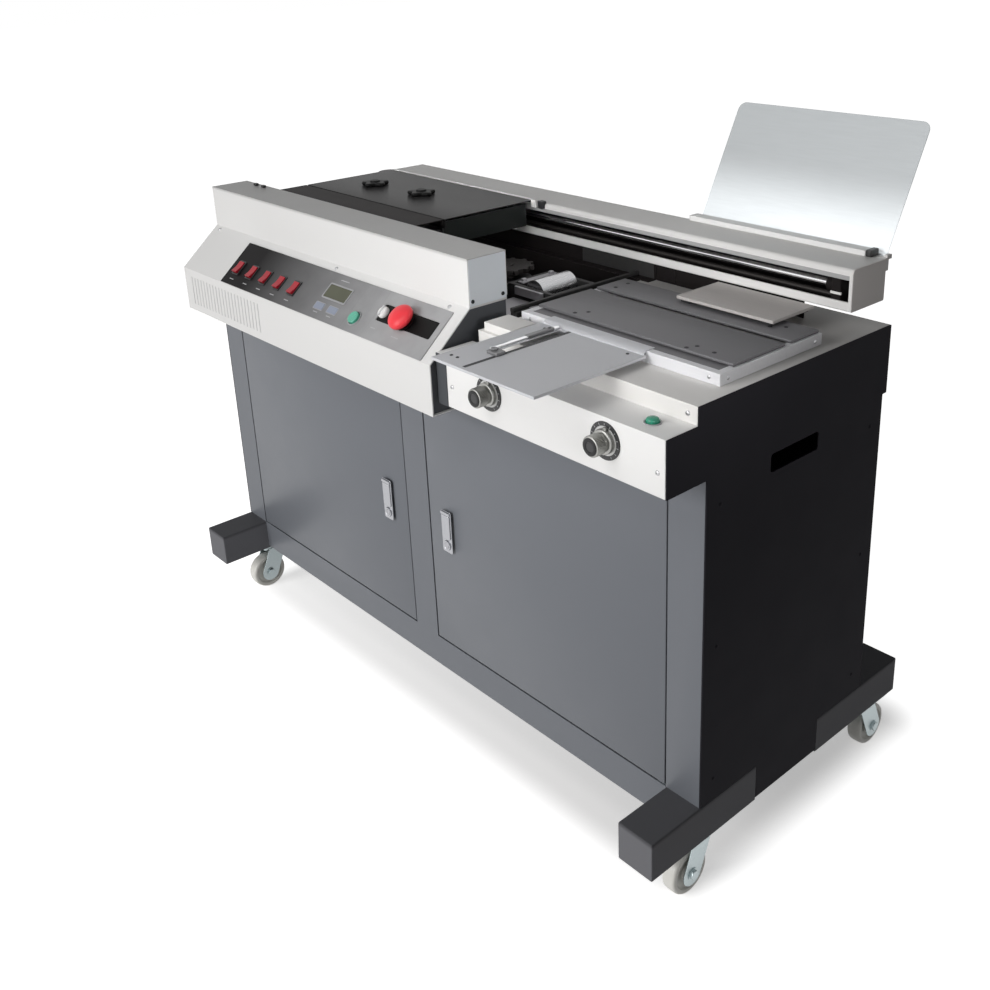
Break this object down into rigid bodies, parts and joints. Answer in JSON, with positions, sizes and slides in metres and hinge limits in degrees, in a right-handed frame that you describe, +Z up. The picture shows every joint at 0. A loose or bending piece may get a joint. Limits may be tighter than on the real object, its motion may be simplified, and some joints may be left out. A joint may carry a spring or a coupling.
{
  "type": "thermal binding machine",
  "caption": "Floor-standing thermal perfect binding machine: two-door cabinet on casters, control console, clamp carriage on a beam, glue and nipping stations.",
  "frame": {"origin": "centre of the bounding box's underside, on the floor", "axes": "+X to the nipping table's end, +Y to the back, +Z up"},
  "size_m": [1.28, 0.6846, 1.0655],
  "materials": {
    "grey_paint": "satin",
    "charcoal_paint": "satin textured",
    "white_paint": "semi-gloss",
    "dark_plate": "satin",
    "overlay": "satin",
    "aluminium": "satin",
    "dark_steel": "ground",
    "bright_steel": "polished",
    "zinc": "zinc plated",
    "wheel_plastic": "satin",
    "smoked_plastic": "glossy",
    "red_plastic": "glossy",
    "green_plastic": "glossy",
    "black_plastic": "matte",
    "plate_metal": "satin"
  },
  "bodies": {
    "body": {"left_foot": "charcoal_paint", "right_foot": "charcoal_paint", "cabinet_frame": "charcoal_paint", "cabinet_floor": "grey_paint", "front_frame": "grey_paint", "back_panel": "grey_paint", "left_side_panel": "charcoal_paint", "right_side_panel": "charcoal_paint", "top_deck": "charcoal_paint", "left_door_hinge": "bright_steel", "right_door_hinge": "bright_steel", "apron": "white_paint", "table_cover": "white_paint", "table_frame": "aluminium", "rear_nip_plate": "dark_steel", "cover_support": "plate_metal", "console_shell": "white_paint", "left_console_end": "dark_plate", "right_console_end": "dark_plate", "control_panel": "overlay", "beam_housing": "white_paint", "guide_rods": "bright_steel", "left_beam_bracket": "black_plastic", "right_beam_bracket": "black_plastic", "back_hinge": "white_paint", "clamp_surround": "dark_plate", "cover_plate": "aluminium", "glue_tank": "dark_steel", "milling_motor": "black_plastic", "carriage_motor": "black_plastic"},
    "left_door": {"left_door": "grey_paint"},
    "left_latch": {"left_latch": "bright_steel"},
    "right_door": {"right_door": "grey_paint"},
    "right_latch": {"right_latch": "bright_steel"},
    "caster_fork_front_left": {"caster_fork_front_left": "zinc"},
    "caster_wheel_front_left": {"caster_wheel_front_left": "wheel_plastic"},
    "caster_fork_front_right": {"caster_fork_front_right": "zinc"},
    "caster_wheel_front_right": {"caster_wheel_front_right": "wheel_plastic"},
    "caster_fork_rear_left": {"caster_fork_rear_left": "zinc"},
    "caster_wheel_rear_left": {"caster_wheel_rear_left": "wheel_plastic"},
    "caster_fork_rear_right": {"caster_fork_rear_right": "zinc"},
    "caster_wheel_rear_right": {"caster_wheel_rear_right": "wheel_plastic"},
    "rocker_1": {"rocker_1": "red_plastic"},
    "rocker_2": {"rocker_2": "red_plastic"},
    "rocker_3": {"rocker_3": "red_plastic"},
    "rocker_4": {"rocker_4": "red_plastic"},
    "rocker_5": {"rocker_5": "red_plastic"},
    "start_button": {"start_button": "green_plastic"},
    "emergency_stop": {"emergency_stop": "red_plastic"},
    "shelf_button": {"shelf_button": "green_plastic"},
    "left_adjusting_knob": {"left_adjusting_knob": "zinc"},
    "right_adjusting_knob": {"right_adjusting_knob": "zinc"},
    "front_nip_plate": {"front_nip_plate": "dark_steel"},
    "cover_gauge": {"cover_gauge": "black_plastic"},
    "clamp_carriage": {"clamp_carriage": "dark_steel"},
    "clamp_jaw": {"clamp_jaw": "dark_steel"},
    "clamp_cover": {"clamp_cover": "smoked_plastic"},
    "back_plate": {"back_plate": "plate_metal"},
    "glue_roller": {"glue_roller": "bright_steel"},
    "milling_cutter": {"milling_cutter": "bright_steel"}
  },
  "joints": [
    {"name": "left_door_hinge_turn", "type": "hinge", "parent": "body", "child": "left_door", "pos_m": [-0.5645, -0.17731, 0.1705], "axis": [0, 0, -1], "range_deg": [0, 95]},
    {"name": "left_latch_flip", "type": "hinge", "parent": "left_door", "child": "left_latch", "pos_m": [-0.0855, -0.18831, 0.439], "axis": [-1, 0, 0], "range_deg": [0, 40], "stiffness_Nm_per_rad": 0.1},
    {"name": "right_door_hinge_turn", "type": "hinge", "parent": "body", "child": "right_door", "pos_m": [0.5645, -0.17731, 0.1705], "axis": [0, 0, 1], "range_deg": [0, 95]},
    {"name": "right_latch_flip", "type": "hinge", "parent": "right_door", "child": "right_latch", "pos_m": [0.0855, -0.18831, 0.439], "axis": [-1, 0, 0], "range_deg": [0, 40], "stiffness_Nm_per_rad": 0.1},
    {"name": "caster_swivel_front_left", "type": "hinge", "parent": "body", "child": "caster_fork_front_left", "pos_m": [-0.6075, -0.15631, 0.0917], "axis": [0, 0, 1], "continuous": true},
    {"name": "caster_roll_front_left", "type": "hinge", "parent": "caster_fork_front_left", "child": "caster_wheel_front_left", "pos_m": [-0.6075, -0.18131, 0.03718], "axis": [1, 0, 0], "continuous": true},
    {"name": "caster_swivel_front_right", "type": "hinge", "parent": "body", "child": "caster_fork_front_right", "pos_m": [0.6075, -0.15631, 0.0917], "axis": [0, 0, 1], "continuous": true},
    {"name": "caster_roll_front_right", "type": "hinge", "parent": "caster_fork_front_right", "child": "caster_wheel_front_right", "pos_m": [0.6075, -0.18131, 0.03718], "axis": [1, 0, 0], "continuous": true},
    {"name": "caster_swivel_rear_left", "type": "hinge", "parent": "body", "child": "caster_fork_rear_left", "pos_m": [-0.6075, 0.26869, 0.0917], "axis": [0, 0, 1], "continuous": true},
    {"name": "caster_roll_rear_left", "type": "hinge", "parent": "caster_fork_rear_left", "child": "caster_wheel_rear_left", "pos_m": [-0.6075, 0.29369, 0.03718], "axis": [1, 0, 0], "continuous": true},
    {"name": "caster_swivel_rear_right", "type": "hinge", "parent": "body", "child": "caster_fork_rear_right", "pos_m": [0.6075, 0.26869, 0.0917], "axis": [0, 0, 1], "continuous": true},
    {"name": "caster_roll_rear_right", "type": "hinge", "parent": "caster_fork_rear_right", "child": "caster_wheel_rear_right", "pos_m": [0.6075, 0.29369, 0.03718], "axis": [1, 0, 0], "continuous": true},
    {"name": "rocker_1_tilt", "type": "hinge", "parent": "body", "child": "rocker_1", "pos_m": [-0.4231, -0.24883, 0.77192], "axis": [1, 0, 0], "range_deg": [-5, 5]},
    {"name": "rocker_2_tilt", "type": "hinge", "parent": "body", "child": "rocker_2", "pos_m": [-0.37521, -0.24883, 0.77192], "axis": [1, 0, 0], "range_deg": [-5, 5]},
    {"name": "rocker_3_tilt", "type": "hinge", "parent": "body", "child": "rocker_3", "pos_m": [-0.32731, -0.24883, 0.77192], "axis": [1, 0, 0], "range_deg": [-5, 5]},
    {"name": "rocker_4_tilt", "type": "hinge", "parent": "body", "child": "rocker_4", "pos_m": [-0.27942, -0.24883, 0.77192], "axis": [1, 0, 0], "range_deg": [-5, 5]},
    {"name": "rocker_5_tilt", "type": "hinge", "parent": "body", "child": "rocker_5", "pos_m": [-0.23152, -0.24883, 0.77192], "axis": [1, 0, 0], "range_deg": [-5, 5]},
    {"name": "start_button_press", "type": "slide", "parent": "body", "child": "start_button", "axis": [0, 0.6578, -0.7532], "range_m": [0, 0.003], "stiffness_N_per_m": 200},
    {"name": "emergency_stop_press", "type": "slide", "parent": "body", "child": "emergency_stop", "axis": [0, 0.6578, -0.7532], "range_m": [0, 0.005]},
    {"name": "shelf_button_press", "type": "slide", "parent": "body", "child": "shelf_button", "axis": [0, 0, -1], "range_m": [0, 0.003], "stiffness_N_per_m": 200},
    {"name": "left_adjusting_knob_turn", "type": "hinge", "parent": "body", "child": "left_adjusting_knob", "pos_m": [0.306, -0.26381, 0.732], "axis": [0, -1, 0], "range_deg": [-150, 150]},
    {"name": "right_adjusting_knob_turn", "type": "hinge", "parent": "body", "child": "right_adjusting_knob", "pos_m": [0.536, -0.26381, 0.732], "axis": [0, -1, 0], "range_deg": [-150, 150]},
    {"name": "front_nip_plate_slide", "type": "slide", "parent": "body", "child": "front_nip_plate", "axis": [0, 1, 0], "range_m": [-0.015, 0.01]},
    {"name": "cover_gauge_slide", "type": "slide", "parent": "body", "child": "cover_gauge", "axis": [0, 1, 0], "range_m": [0, 0.12]},
    {"name": "clamp_carriage_travel", "type": "slide", "parent": "body", "child": "clamp_carriage", "axis": [1, 0, 0], "range_m": [0, 0.62]},
    {"name": "clamp_jaw_slide", "type": "slide", "parent": "clamp_carriage", "child": "clamp_jaw", "axis": [0, -1, 0], "range_m": [-0.014, 0.024]},
    {"name": "clamp_cover_lift", "type": "hinge", "parent": "body", "child": "clamp_cover", "pos_m": [-0.2725, 0.14419, 0.8835], "axis": [-1, 0, 0], "range_deg": [0, 75]},
    {"name": "back_plate_lean", "type": "hinge", "parent": "body", "child": "back_plate", "pos_m": [0.434, 0.24519, 0.884], "axis": [-1, 0, 0], "range_deg": [-28, 57]},
    {"name": "glue_roller_spin", "type": "hinge", "parent": "body", "child": "glue_roller", "pos_m": [0.14, 0.01169, 0.7905], "axis": [0, 1, 0], "continuous": true},
    {"name": "milling_cutter_spin", "type": "hinge", "parent": "body", "child": "milling_cutter", "pos_m": [0.03, 0.01169, 0.802], "axis": [0, 0, 1], "continuous": true}
  ]
}
